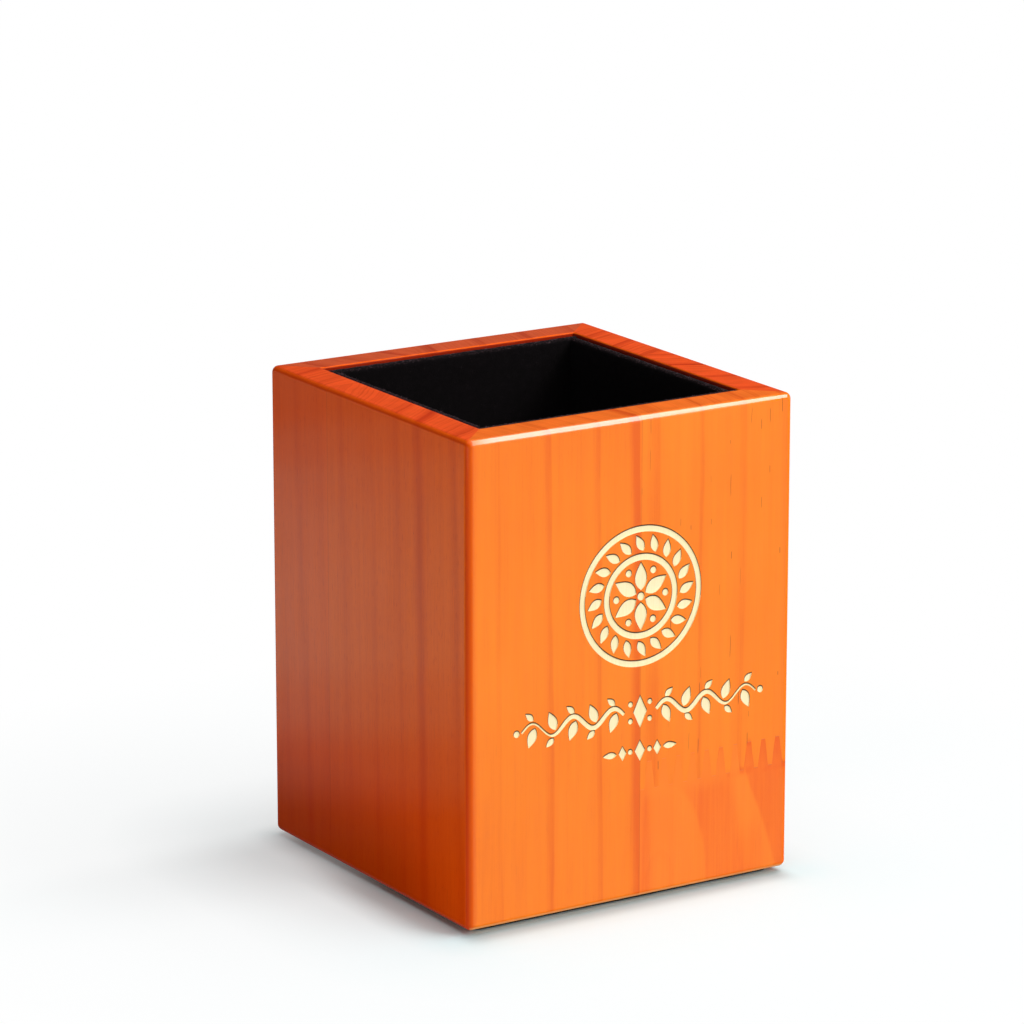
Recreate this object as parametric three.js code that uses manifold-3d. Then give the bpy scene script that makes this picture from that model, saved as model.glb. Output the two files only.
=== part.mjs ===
// Wooden pen cup: a square box of four mitred softwood panels on a bottom board, lined with felt.
// Millimetres, +Z up. The origin is the centre of the underside, and the front panel faces -Y.

import * as THREE from 'three';
import { RoundedBoxGeometry } from 'three/addons/geometries/RoundedBoxGeometry.js';
import { mergeVertices } from 'three/addons/utils/BufferGeometryUtils.js';
import Module from 'manifold-3d';

// Outside of the wooden box
const cupWidth = 83;
const cupDepth = 83;
const woodHeight = 108;
const wall = 8.4;
const edgeRadius = 1.5;
const edgeSteps = 6;
const mouthRadius = 0.5;
const mouthSteps = 3;

// Glue lines between the staves of each panel, measured from the panel's middle
const frontGlueLine = 2.3;
const leftGlueLine = 16.5;
const rightGlueLine = 6;
const backGlueLine = -8;

// Finger joint in the right stave of the front panel
const fingerBase = 24.4;
const fingerLength = 6.2;
const fingerPitch = 3.75;
const fingerTip = 1.05;
const fingerTipGap = 0.1;
const firstFingerInset = 2.45;

// Bottom board, let into a rabbet round the lower inner edge of the panels
const boardThickness = 5;
const rabbetDepth = 4.2;
const boardClearance = 0.15;

// Felt linings on the panels and on the bottom board
const liningThickness = 2;
const floorLiningThickness = 2;
const liningClearance = 0.1;
const liningDrop = 0.3;
const liningEdgeRadius = 0.6;

// Felt pad under the cup
const padThickness = 1;
const padInset = 2.5;
const padCornerRadius = 3;

// How far a cutting shape runs past what it cuts
const overrun = 5;

const wasm = await Module();
wasm.setup();

const finishes = {
  frontLeftWood: { color: 0xf6863a, roughness: 0.3 },
  frontUpperWood: { color: 0xf98c3c, roughness: 0.3 },
  frontLowerWood: { color: 0xfa7e38, roughness: 0.3 },
  sideWood: { color: 0xdc6a34, roughness: 0.3 },
  sidePaleWood: { color: 0xe07440, roughness: 0.3 },
  plainWood: { color: 0xc9a06a, roughness: 0.7 },
  felt: { color: 0x0c0b0c, roughness: 1 },
};

function finish(name) {
  return new THREE.MeshStandardMaterial({ ...finishes[name], metalness: 0 });
}

// A closed geometry as a solid for joining and cutting
function toSolid(geometry) {
  const bare = geometry.clone();
  bare.deleteAttribute('normal');
  bare.deleteAttribute('uv');
  const merged = mergeVertices(bare);
  return new wasm.Manifold(new wasm.Mesh({
    numProp: 3,
    vertProperties: new Float32Array(merged.attributes.position.array),
    triVerts: new Uint32Array(merged.index.array),
  }));
}

function toGeometry(solid) {
  const mesh = solid.getMesh();
  const geometry = new THREE.BufferGeometry();
  geometry.setAttribute('position', new THREE.BufferAttribute(mesh.vertProperties, 3));
  geometry.setIndex(new THREE.BufferAttribute(mesh.triVerts, 1));
  geometry.computeVertexNormals();
  return geometry;
}

function namedMesh(name, geometry, finishName) {
  const mesh = new THREE.Mesh(geometry, finish(finishName));
  mesh.name = name;
  return mesh;
}

function outline(points) {
  return new THREE.Shape(points.map(([x, y]) => new THREE.Vector2(x, y)));
}

function extrude(shape, depth, curveSegments = 1) {
  return new THREE.ExtrudeGeometry(shape, { depth, bevelEnabled: false, curveSegments });
}

// A section drawn in Y and Z, run along X from -length/2 to length/2
function alongX(section, length, curveSegments) {
  const run = new THREE.Matrix4().makeBasis(
    new THREE.Vector3(0, 1, 0),
    new THREE.Vector3(0, 0, 1),
    new THREE.Vector3(1, 0, 0),
  );
  return extrude(section, length, curveSegments).applyMatrix4(run).translate(-length / 2, 0, 0);
}

function block(from, to) {
  const size = to.map((value, axis) => value - from[axis]);
  const middle = to.map((value, axis) => (value + from[axis]) / 2);
  return new THREE.BoxGeometry(...size).translate(...middle);
}

// A panel is drawn lying along X with its outer face at Y = 0 and its inner face at Y = wall.
// The section has the rabbet for the bottom board and the softened inner edge of the rim.
function panelSection() {
  const rabbetHeight = boardThickness + boardClearance;
  const section = outline([
    [0, 0],
    [wall - rabbetDepth, 0],
    [wall - rabbetDepth, rabbetHeight],
    [wall, rabbetHeight],
    [wall, woodHeight - mouthRadius],
  ]);
  section.absarc(wall - mouthRadius, woodHeight - mouthRadius, mouthRadius, 0, Math.PI / 2, false);
  section.lineTo(0, woodHeight);
  return section;
}

// A whole panel: its section run along its length, mitred at both ends, with the box's outer edges
// rounded. across is the size of the box square to the panel.
function panelSolid(length, across) {
  const run = toSolid(alongX(panelSection(), length, mouthSteps));
  const reach = wall + overrun;
  const mitres = toSolid(extrude(outline([
    [-length / 2, 0],
    [length / 2, 0],
    [length / 2 - reach, reach],
    [reach - length / 2, reach],
  ]), woodHeight));
  const box = new RoundedBoxGeometry(length, across, woodHeight, edgeSteps, edgeRadius);
  const envelope = toSolid(box.translate(0, across / 2, woodHeight / 2));
  return run.intersect(mitres).intersect(envelope);
}

// The part of a panel between two glue lines
function staveSolid(panel, length, from, to) {
  return panel.intersect(toSolid(block(
    [from ?? -length / 2 - overrun, -overrun, -overrun],
    [to ?? length / 2 + overrun, wall + overrun, woodHeight + overrun],
  )));
}

// The zigzag of the finger joint, as points in X and Z: a flat tip at the top, a steep flank,
// a flat root and a flank up again for each finger, from before one end of the stave to past the other
function fingerLine(from, to) {
  const points = [];
  const flank = fingerPitch / 2 - fingerTip;
  const firstTip = from + firstFingerInset - Math.ceil((firstFingerInset + overrun) / fingerPitch) * fingerPitch;
  for (let tip = firstTip; tip < to + overrun; tip += fingerPitch) {
    points.push([tip - fingerTip / 2, fingerBase + fingerLength]);
    points.push([tip + fingerTip / 2, fingerBase + fingerLength]);
    points.push([tip + fingerTip / 2 + flank, fingerBase]);
    points.push([tip + fingerTip / 2 + flank + fingerTip, fingerBase]);
  }
  return points;
}

// What lies above or below the finger line, the whole way through the panel
function fingerRegion(from, to, above) {
  const shift = above ? fingerTipGap / 2 : -fingerTipGap / 2;
  const end = above ? woodHeight + overrun : -overrun;
  const line = fingerLine(from, to).map(([x, z]) => [x, z + shift]);
  const first = line[0];
  const last = line[line.length - 1];
  const region = outline([[first[0], end], ...line, [last[0], end]]);
  const depth = wall + 2 * overrun;
  return toSolid(extrude(region, depth).rotateX(Math.PI / 2).translate(0, depth - overrun, 0));
}

// A panel's staves, each its own mesh, in a group turned to the panel's side of the box
function panelGroup({ turn, length, across, glueLine, staves }) {
  const group = new THREE.Group();
  const panel = panelSolid(length, across);
  for (const { name, side, finishName, fingers } of staves) {
    const from = side === 'end' ? glueLine : undefined;
    const to = side === 'start' ? glueLine : undefined;
    let solid = staveSolid(panel, length, from, to);
    if (fingers) {
      solid = solid.intersect(fingerRegion(glueLine, length / 2, fingers === 'above'));
    }
    group.add(namedMesh(name, toGeometry(solid), finishName));
  }
  group.rotation.z = turn;
  group.position.set(Math.sin(turn) * across / 2, -Math.cos(turn) * across / 2, 0);
  return group;
}

const panels = [
  {
    turn: 0,
    length: cupWidth,
    across: cupDepth,
    glueLine: frontGlueLine,
    staves: [
      { name: 'front_stave_left', side: 'start', finishName: 'frontLeftWood' },
      { name: 'front_stave_right_upper', side: 'end', finishName: 'frontUpperWood', fingers: 'above' },
      { name: 'front_stave_right_lower', side: 'end', finishName: 'frontLowerWood', fingers: 'below' },
    ],
  },
  {
    turn: Math.PI / 2,
    length: cupDepth,
    across: cupWidth,
    glueLine: rightGlueLine,
    staves: [
      { name: 'right_stave_front', side: 'start', finishName: 'sideWood' },
      { name: 'right_stave_rear', side: 'end', finishName: 'sidePaleWood' },
    ],
  },
  {
    turn: Math.PI,
    length: cupWidth,
    across: cupDepth,
    glueLine: -backGlueLine,
    staves: [
      { name: 'back_stave_right', side: 'start', finishName: 'sideWood' },
      { name: 'back_stave_left', side: 'end', finishName: 'sidePaleWood' },
    ],
  },
  {
    turn: -Math.PI / 2,
    length: cupDepth,
    across: cupWidth,
    glueLine: -leftGlueLine,
    staves: [
      { name: 'left_stave_rear', side: 'start', finishName: 'sidePaleWood' },
      { name: 'left_stave_front', side: 'end', finishName: 'sideWood' },
    ],
  },
];

function bottomBoard() {
  const inset = wall - rabbetDepth + boardClearance;
  const board = new THREE.BoxGeometry(cupWidth - 2 * inset, cupDepth - 2 * inset, boardThickness);
  const mesh = namedMesh('bottom_board', board, 'plainWood');
  mesh.position.z = boardThickness / 2;
  return mesh;
}

// Inside of the felt-lined box: the clear width between the panels, less the glue's clearance
const liningWidth = cupWidth - 2 * (wall + liningClearance);
const liningDepth = cupDepth - 2 * (wall + liningClearance);
const wallLiningBottom = boardThickness + floorLiningThickness + liningClearance;
const wallLiningHeight = woodHeight - liningDrop - wallLiningBottom;

// The floor lining lies on the bottom board
function floorLining() {
  const felt = new THREE.BoxGeometry(liningWidth, liningDepth, floorLiningThickness);
  const mesh = namedMesh('lining_floor', felt, 'felt');
  mesh.position.z = boardThickness + floorLiningThickness / 2;
  return mesh;
}

// A wall lining stands on the floor lining with its back at Y = 0, its free top edge rounded
function wallLining(name, length, turn, reach) {
  const section = outline([[0, 0], [liningThickness, 0]]);
  const top = wallLiningHeight - liningEdgeRadius;
  section.absarc(liningThickness - liningEdgeRadius, top, liningEdgeRadius, 0, Math.PI / 2, false);
  section.absarc(liningEdgeRadius, top, liningEdgeRadius, Math.PI / 2, Math.PI, false);
  const mesh = namedMesh(name, alongX(section, length, mouthSteps), 'felt');
  mesh.rotation.z = turn;
  mesh.position.set(Math.sin(turn) * reach, -Math.cos(turn) * reach, wallLiningBottom);
  return mesh;
}

// The front and back linings run the full width, and the side linings fit between them
function wallLinings() {
  const sideLength = liningDepth - 2 * (liningThickness + liningClearance);
  return [
    wallLining('lining_front', liningWidth, 0, liningDepth / 2),
    wallLining('lining_back', liningWidth, Math.PI, liningDepth / 2),
    wallLining('lining_left', sideLength, -Math.PI / 2, liningWidth / 2),
    wallLining('lining_right', sideLength, Math.PI / 2, liningWidth / 2),
  ];
}

function basePad() {
  const halfWidth = cupWidth / 2 - padInset;
  const halfDepth = cupDepth / 2 - padInset;
  const r = padCornerRadius;
  const sheet = new THREE.Shape();
  sheet.absarc(halfWidth - r, halfDepth - r, r, 0, Math.PI / 2, false);
  sheet.absarc(r - halfWidth, halfDepth - r, r, Math.PI / 2, Math.PI, false);
  sheet.absarc(r - halfWidth, r - halfDepth, r, Math.PI, 1.5 * Math.PI, false);
  sheet.absarc(halfWidth - r, r - halfDepth, r, 1.5 * Math.PI, 2 * Math.PI, false);
  return namedMesh('base_pad', extrude(sheet, padThickness, 2 * edgeSteps), 'felt');
}

// The wooden box and its linings stand on the pad
const box = new THREE.Group();
box.position.z = padThickness;
box.add(...panels.map(panelGroup), bottomBoard(), floorLining(), ...wallLinings());

const penCup = new THREE.Group();
penCup.add(basePad(), box);

export default penCup;
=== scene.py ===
"""Wooden pen cup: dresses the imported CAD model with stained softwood, engraving and felt.

Metres in the row frame: origin at the centre of the underside, +Z up, the engraved front towards -Y.
The tables and the names that end in _MM are in millimetres, with heights above the wood's lower edge
and noise scales in waves per mm. A pair of numbers for a step is where it begins and where it ends.
"""

import math
import random

import bmesh
import bpy
from mathutils import Matrix, Vector, noise


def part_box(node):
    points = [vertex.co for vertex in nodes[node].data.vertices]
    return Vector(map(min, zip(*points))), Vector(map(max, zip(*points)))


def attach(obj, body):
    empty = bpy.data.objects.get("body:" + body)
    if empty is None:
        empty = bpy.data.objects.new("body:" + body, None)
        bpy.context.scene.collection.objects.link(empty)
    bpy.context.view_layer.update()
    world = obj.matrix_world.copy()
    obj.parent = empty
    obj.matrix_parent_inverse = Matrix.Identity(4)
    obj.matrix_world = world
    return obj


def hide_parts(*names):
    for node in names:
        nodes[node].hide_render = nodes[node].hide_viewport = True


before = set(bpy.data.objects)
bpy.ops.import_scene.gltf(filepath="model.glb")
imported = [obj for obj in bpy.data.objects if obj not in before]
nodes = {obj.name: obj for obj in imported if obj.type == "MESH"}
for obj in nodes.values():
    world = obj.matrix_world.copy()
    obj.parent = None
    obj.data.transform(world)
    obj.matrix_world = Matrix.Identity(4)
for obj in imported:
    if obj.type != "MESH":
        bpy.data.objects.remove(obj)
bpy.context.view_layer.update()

MM = 0.001

# The wooden box, read from the frame
front_low, front_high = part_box("front_stave_left")
left_low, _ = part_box("left_stave_front")
FRONT_FACE = front_low.y
HALF_WIDTH_MM = -left_low.x / MM
HALF_DEPTH_MM = -front_low.y / MM
WOOD_FLOOR = front_low.z
WOOD_TOP = front_high.z
WOOD_HEIGHT_MM = (WOOD_TOP - WOOD_FLOOR) / MM
GLUE_LINE_MM = front_high.x / MM

# The camera, at the photograph's viewing angle
CAMERA_AZIMUTH = math.radians(-32.231)
CAMERA_ELEVATION = math.radians(14.804)
CAMERA_DISTANCE = 1.1235
CAMERA_TARGET = Vector((0.07, 6.90, 77.22)) * MM
CAMERA_LENS = 178.34
CAMERA_SENSOR = 36.0
CAMERA_CLIP = (0.05, 30.0)


def rgb(red, green, blue):
    return (red, green, blue, 1.0)


def tint(value):
    """A colour as it is, or the grey of a number."""
    return rgb(value, value, value) if isinstance(value, float) else value


class Field:
    """What a shader node puts out, with short calls for the nodes that it feeds."""

    def __init__(self, graph, socket):
        self.graph = graph
        self.socket = socket

    def math(self, operation, *values, clamp=False):
        feeds = dict(enumerate(values))
        return self.graph.output("ShaderNodeMath", 0, feeds, operation=operation, use_clamp=clamp)

    def __add__(self, other):
        return self.math("ADD", self, other)

    def __sub__(self, other):
        return self.math("SUBTRACT", self, other)

    def __rsub__(self, other):
        return self.math("SUBTRACT", other, self)

    def __mul__(self, other):
        return self.math("MULTIPLY", self, other)

    def __abs__(self):
        return self.math("ABSOLUTE", self)

    def either(self, other):
        return self.math("MAXIMUM", self, other)

    def fraction(self):
        return self.math("FRACT", self)

    def length(self, other):
        return self.math("SQRT", self * self + other * other)

    def lifted(self, least, more):
        return self * more + least

    def share(self, whole):
        """Divided by whole, and held between 0 and 1."""
        return self.math("DIVIDE", self, whole, clamp=True)

    def split(self):
        made = self.graph.node("ShaderNodeSeparateXYZ", {"Vector": self})
        return [Field(self.graph, made.outputs[axis]) for axis in "XYZ"]

    def scaled(self, scale):
        feeds = {0: self, "Scale": scale}
        return self.graph.output("ShaderNodeVectorMath", 0, feeds, operation="SCALE")

    def step(self, begin, end):
        """0 before begin, 1 after end and eased between, whichever of them is higher."""
        feeds = {
            "Value": self,
            "From Min": min(begin, end),
            "From Max": max(begin, end),
            "To Min": float(begin > end),
            "To Max": float(begin < end),
        }
        return self.graph.output("ShaderNodeMapRange", "Result", feeds, interpolation_type="SMOOTHSTEP")

    def mix(self, a, b):
        """Colour or number a, turning into b with this factor."""
        made = self.graph.node("ShaderNodeMix", data_type="RGBA", clamp_factor=True)
        sockets = {socket.identifier: socket for socket in made.inputs}
        for name, value in (("Factor_Float", self), ("A_Color", tint(a)), ("B_Color", tint(b))):
            self.graph.feed(sockets[name], value)
        return Field(self.graph, next(s for s in made.outputs if s.identifier == "Result_Color"))

    def ramp(self, stops, interpolation="LINEAR"):
        """stops are (place from 0 to 1, number or colour)."""
        made = self.graph.node("ShaderNodeValToRGB", {"Fac": self})
        made.color_ramp.interpolation = interpolation
        elements = made.color_ramp.elements
        elements[0].position = stops[0][0]
        elements[1].position = stops[-1][0]
        for place, _ in stops[1:-1]:
            elements.new(place)
        for element, (_, shade) in zip(elements, stops):
            element.color = tint(shade)
        return Field(self.graph, made.outputs["Color"])

    def noise(self, scale, detail=2.0, roughness=0.5):
        feeds = {"Vector": self, "Scale": scale, "Detail": detail, "Roughness": roughness}
        return self.graph.output("ShaderNodeTexNoise", "Fac", feeds)

    def bump(self, distance, strength):
        feeds = {"Height": self, "Distance": distance, "Strength": strength}
        return self.graph.output("ShaderNodeBump", "Normal", feeds)


class Graph:
    """The nodes of one material or world."""

    def __init__(self, owner):
        owner.use_nodes = True
        self.owner = owner
        self.tree = owner.node_tree
        self.tree.nodes.clear()

    def node(self, kind, feeds=None, **settings):
        made = self.tree.nodes.new(kind)
        for key, value in settings.items():
            setattr(made, key, value)
        for key, value in (feeds or {}).items():
            self.feed(made.inputs[key], value)
        return made

    def output(self, kind, name, feeds=None, **settings):
        return Field(self, self.node(kind, feeds, **settings).outputs[name])

    def feed(self, socket, value):
        if isinstance(value, Field):
            self.tree.links.new(value.socket, socket)
        else:
            socket.default_value = value

    def join(self, x, y, z):
        return self.output("ShaderNodeCombineXYZ", "Vector", {"X": x, "Y": y, "Z": z})

    def place(self):
        """The point in the object's own frame, in mm."""
        return self.output("ShaderNodeTexCoord", "Object").scaled(1 / MM)

    def blend(self, factor, a, b):
        """Shader a, turning into shader b with factor."""
        made = self.node("ShaderNodeMixShader", {"Fac": factor})
        self.tree.links.new(a.outputs[0], made.inputs[1])
        self.tree.links.new(b.outputs[0], made.inputs[2])
        return made

    def finish(self, shader, kind="ShaderNodeOutputMaterial"):
        self.tree.links.new(shader.outputs[0], self.node(kind).inputs["Surface"])
        return self.owner

    def principled(self, **feeds):
        """The material with one shader. Keys are its sockets' names in lower case with underscores."""
        shader = self.node("ShaderNodeBsdfPrincipled")
        names = {socket.name.lower().replace(" ", "_"): socket for socket in shader.inputs}
        for key, value in feeds.items():
            self.feed(names[key], value)
        return self.finish(shader)


def material_graph(name):
    return Graph(bpy.data.materials.new(name))


# The finger joint in the front's right stave, as in the CAD
FINGER_BASE_MM = 24.4
FINGER_LENGTH_MM = 6.2
FINGER_PITCH_MM = 3.75
FINGER_TIP_MM = 1.05
FINGER_FLANK_MM = FINGER_PITCH_MM / 2 - FINGER_TIP_MM
FIRST_FINGER_MM = GLUE_LINE_MM + 2.45
JOINT_GAP_MM = 0.1

# Stain colours: pale early wood, late wood, and end grain between and in its rings
FRONT_TONES = {
    "early": rgb(1.0, 0.237, 0.007),
    "late": rgb(0.84, 0.125, 0.002),
    "end": rgb(0.99, 0.190, 0.022),
    "end_ring": rgb(0.78, 0.100, 0.012),
}
FLAT_SAWN_TONES = dict(FRONT_TONES, early=rgb(1.0, 0.230, 0.011), late=rgb(0.88, 0.120, 0.003))
SIDE_TONES = {
    "early": rgb(0.98, 0.150, 0.004),
    "late": rgb(0.76, 0.092, 0.002),
    "end": rgb(0.97, 0.105, 0.019),
    "end_ring": rgb(0.62, 0.042, 0.008),
}
LEFT_FRONT_TONES = dict(SIDE_TONES, early=rgb(0.98, 0.158, 0.004))
BACK_TONES = dict(SIDE_TONES, end=rgb(0.84, 0.122, 0.034), end_ring=rgb(0.64, 0.058, 0.014))
EDGE_STAIN = rgb(0.66, 0.048, 0.004)
# Redder colour painted where the left panel shows less reflection: a painted reflection
SHEENLESS_RED = rgb(0.92, 0.040, 0.002)
RESIN = rgb(0.30, 0.035, 0.004)
GLUE = rgb(0.42, 0.040, 0.003)
# The inner face above the felt: its darker stain, and painted shade inside the cup
INSIDE_STAIN_AND_SHADE = rgb(0.36, 0.022, 0.004)
# A pale colour painted on the front's lower rounded edge: a painted highlight of the floor's reflection
PAINTED_LOWER_EDGE_HIGHLIGHT = rgb(1.0, 0.52, 0.18)
# Paler felt colour for the cut top edge: lint, and a painted highlight of the light its fibres catch
LINT_AND_GLINT = rgb(0.080, 0.046, 0.052)

# How well the left panel is polished, from its foot at 0 to its rim at 1. The same ramp paints it redder
# where the polish is less, a painted reflection.
LEFT_POLISH = [
    (0.0, 0.0), (0.12, 0.07), (0.25, 0.37), (0.37, 0.73), (0.49, 1.0),
    (0.62, 1.0), (0.75, 0.90), (0.84, 0.74), (0.92, 0.50), (1.0, 0.28),
]

# How much redder the front's left stave is, from its foot at 0 to its rim at 1
FRONT_LEFT_REDDENING = [
    (0.0, 0.04), (0.12, 0.09), (0.35, 0.05), (0.5, 0.0), (0.7, 0.04), (0.85, 0.16), (1.0, 0.28),
]

# The wood's noises: (how much the height counts beside the other two ways, scale, detail, roughness)
WOOD_NOISES = {
    "warp": (0.30, 0.06, 3.0, 0.5),
    "ring_patches": (0.35, 0.09, 1.0, 0.5),
    "fibre": (0.03, 2.2, 3.0, 0.6),
    "strand": (0.035, 0.55, 2.0, 0.5),
    "cloud": (0.4, 0.075, 2.0, 0.5),
    "flecks": (0.10, 3.4, 2.0, 0.6),
    "resin_wobble": (0.3, 0.4, 1.0, 0.5),
    "joint_patches": (0.5, 0.22, 2.0, 0.5),
    "pits": (1.5, 1.5, 2.0, 0.7),
    "pit_clusters": (1.0, 0.07, 1.0, 0.5),
    "end_lines": (0.0, 1.3, 2.0, 0.6),
    "end_pores": (0.0, 3.6, 2.0, 0.7),
    "end_mottle": (0.0, 0.15, 2.0, 0.5),
}

# What a panel's staves share, where a stave doesn't say otherwise. glue is where the glue line runs,
# resin how dark the resin canals are and warp how unevenly the rings run. fibre to flecks are how much
# each noise darkens the wood, the coats how strongly the lacquer shines, on the rim and its rounded
# edges by rim_coats.
FRONT = dict(
    panel="front", tones=FRONT_TONES, glue=GLUE_LINE_MM, warp=0.9, rim_coats=(0.26, 0.14),
    fibre=0.38, strand=0.45, cloud=0.50, flecks=0.12, coat=0.34, edge_coat=0.08,
)
SIDE = dict(
    tones=SIDE_TONES, resin=0.35, warp=0.9, rim_coats=(0.26, 0.14),
    fibre=0.55, strand=0.62, cloud=0.50, flecks=0.52, coat=0.41, edge_coat=0.05,
)
LEFT = dict(SIDE, panel="left", glue=-16.5, resin=0.16)
RIGHT = dict(SIDE, panel="right", glue=6.0)
BACK = dict(SIDE, panel="back", glue=8.0, tones=BACK_TONES, rim_coats=(0.70, 0.02))

# Each stave's growth rings. A ring is (where its dark edge meets the outer face, how far it takes to
# darken, how far it stays dark, how far to clear, strength), in mm along the panel, seen from
# outside, from its middle. pith is the tree's centre along the panel and into it; drift is how far
# the grain leans over 100 mm of height; cone is (how fast the panel's surface leaves the rings with
# height, from what height); flare is (from, to, how fast the outer rings lean besides). A margin is
# a darker band along the grain: (place, rise, fall, strength, the height it reaches up to). joint is
# how much darker the stave's fingers are.
STAVES = {
    "front_stave_left": dict(
        FRONT, pith=(-220.0, -40.0), drift=0.9, resin=0.10, seed=3.0,
        rings=[
            (-33.3, 1.8, 0.0, 0.5, 0.20), (-20.5, 2.2, 0.1, 0.5, 0.42),
            (-8.1, 2.0, 0.1, 0.5, 0.36), (1.8, 3.0, 0.1, 0.4, 0.95),
        ],
        margins=[(-HALF_WIDTH_MM, 0.5, 2.9, 1.2, 200.0)],
        reddening=FRONT_LEFT_REDDENING,
    ),
    "front_stave_right_upper": dict(
        FRONT, pith=(-180.0, 30.0), drift=0.0, resin=0.9, seed=11.0, joint=0.0,
        rings=[
            (6.3, 3.0, 0.2, 0.9, 0.36), (17.7, 1.1, 0.0, 0.8, 0.46),
            (28.7, 2.4, 0.1, 1.1, 0.34), (39.9, 2.2, 0.1, 1.0, 0.22),
        ],
        margins=[(5.0, 4.0, 6.0, 0.15, 50.0)],
    ),
    "front_stave_right_lower": dict(
        FRONT, pith=(7.6, 0.0), drift=0.0, resin=0.08, seed=23.0, joint=0.24,
        tones=FLAT_SAWN_TONES, cone=(0.54, 3.0), flare=(24.0, 32.0, 0.25), warp=0.7,
        rings=[(11.0, 2.0, 0.0, 0.4, 0.10), (20.2, 1.2, 9.0, 4.4, 0.32), (38.9, 1.3, 12.0, 2.0, 0.50)],
        margins=[(3.4, 1.6, 3.4, 0.42, FINGER_BASE_MM), (32.5, 6.5, 5.0, 0.24, 11.0)],
    ),
    "left_stave_front": dict(
        LEFT, pith=(-61.0, -52.0), drift=3.0, seed=37.0, tones=LEFT_FRONT_TONES, warp=1.5,
        rings=[
            (-9.0, 3.0, 0.0, 2.2, 0.26), (3.4, 2.6, 0.0, 2.0, 0.22), (14.0, 2.8, 0.0, 2.6, 0.28),
            (22.6, 3.2, 0.2, 2.6, 0.72), (37.4, 3.0, 0.0, 1.8, 0.42),
        ],
    ),
    "left_stave_rear": dict(
        LEFT, pith=(-110.0, -25.0), drift=4.6, seed=41.0, warp=1.3,
        rings=[(-36.0, 2.6, 0.0, 1.8, 0.20), (-27.6, 3.0, 0.2, 2.4, 0.38), (-18.2, 2.6, 0.0, 1.8, 0.22)],
    ),
    "right_stave_front": dict(
        RIGHT, pith=(120.0, -60.0), drift=2.0, resin=0.5, seed=53.0,
        rings=[
            (-34.0, 0.5, 0.0, 2.4, 0.40), (-22.0, 0.5, 0.0, 2.8, 0.55),
            (-9.0, 0.5, 0.0, 3.0, 0.75), (2.0, 0.5, 0.0, 2.4, 0.45),
        ],
    ),
    "right_stave_rear": dict(
        RIGHT, pith=(-60.0, -30.0), drift=3.5, seed=61.0,
        rings=[(12.0, 2.6, 0.0, 0.6, 0.45), (22.4, 3.0, 0.0, 0.6, 0.65), (33.0, 2.6, 0.0, 0.6, 0.45)],
    ),
    "back_stave_left": dict(
        BACK, pith=(-90.0, -45.0), drift=2.6, seed=71.0,
        rings=[(16.5, 2.6, 0.0, 0.6, 0.55), (27.0, 3.0, 0.0, 0.6, 0.45), (36.6, 2.6, 0.0, 0.6, 0.60)],
    ),
    "back_stave_right": dict(
        BACK, pith=(140.0, -30.0), drift=-1.6, resin=0.6, seed=83.0,
        rings=[
            (-36.0, 0.5, 0.0, 2.6, 0.45), (-24.6, 0.5, 0.0, 3.0, 0.60),
            (-12.4, 0.5, 0.0, 2.6, 0.50), (0.6, 0.5, 0.0, 3.2, 0.65),
        ],
    ),
}


def wood_noise(kind, across, into, up):
    stretch, scale, detail, roughness = WOOD_NOISES[kind]
    return across.graph.join(across, into, up * stretch).noise(scale, detail, roughness)


def panel_place(graph, panel):
    """(across, into, up) in mm: along the panel seen from outside, into the wood, above its foot."""
    x, y, z = graph.place().split()
    up = z - WOOD_FLOOR / MM
    if panel == "front":
        return x, y + HALF_DEPTH_MM, up
    if panel == "right":
        return y, HALF_WIDTH_MM - x, up
    if panel == "back":
        return x * -1.0, HALF_DEPTH_MM - y, up
    return y * -1.0, x + HALF_WIDTH_MM, up


RING_PATCHINESS = 0.5
SHORTEST_HOLD_MM = 0.01


def ring_shade(stave, across, into, up):
    """How dark the late wood is, from 0 to 1, and the distance from the pith."""
    pith_across, pith_into = stave["pith"]
    lean = (up - WOOD_HEIGHT_MM / 2) * (stave["drift"] / 100)
    inwards = into - pith_into
    if "cone" in stave:
        slope, begin = stave["cone"]
        inwards = inwards + (up - begin) * slope
    radius = (across + lean - pith_across).length(inwards)
    if "flare" in stave:
        begin, end, slope = stave["flare"]
        radius = radius + up * slope * across.step(begin, end)
    waver = wood_noise("warp", across, into, up) - 0.5
    radius = radius + waver * (2 * stave["warp"])

    def reach(face_place):
        return math.hypot(face_place - pith_across, pith_into)

    edges = []
    for peak, rise, hold, fall, strength in stave["rings"]:
        edges += [(reach(peak - rise), 0.0), (reach(peak), strength)]
        edges += [(reach(peak + hold + SHORTEST_HOLD_MM), strength), (reach(peak + hold + fall), 0.0)]
    edges.sort()
    near = edges[0][0] - 1
    span = edges[-1][0] + 1 - near
    stops = [(0.0, 0.0)] + [((edge - near) / span, shade) for edge, shade in edges] + [(1.0, 0.0)]
    late = (radius - near).share(span).ramp(stops, "EASE")
    patches = wood_noise("ring_patches", across, into, up)
    return late * (patches * RING_PATCHINESS + (1 - RING_PATCHINESS / 2)), radius


RESIN_CELL_MM = (2.6, 9.0)
RESIN_WOBBLE_MM = 0.5
RESIN_WIDTH_MM = (0.105, 0.028)
RESIN_LENGTH_MM = (0.5, 2.8)
RESIN_ENDS = (1.0, 0.5)
RESIN_CHOSEN = (0.74, 0.76)
RESIN_DEPTH = (0.4, 0.7)


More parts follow.
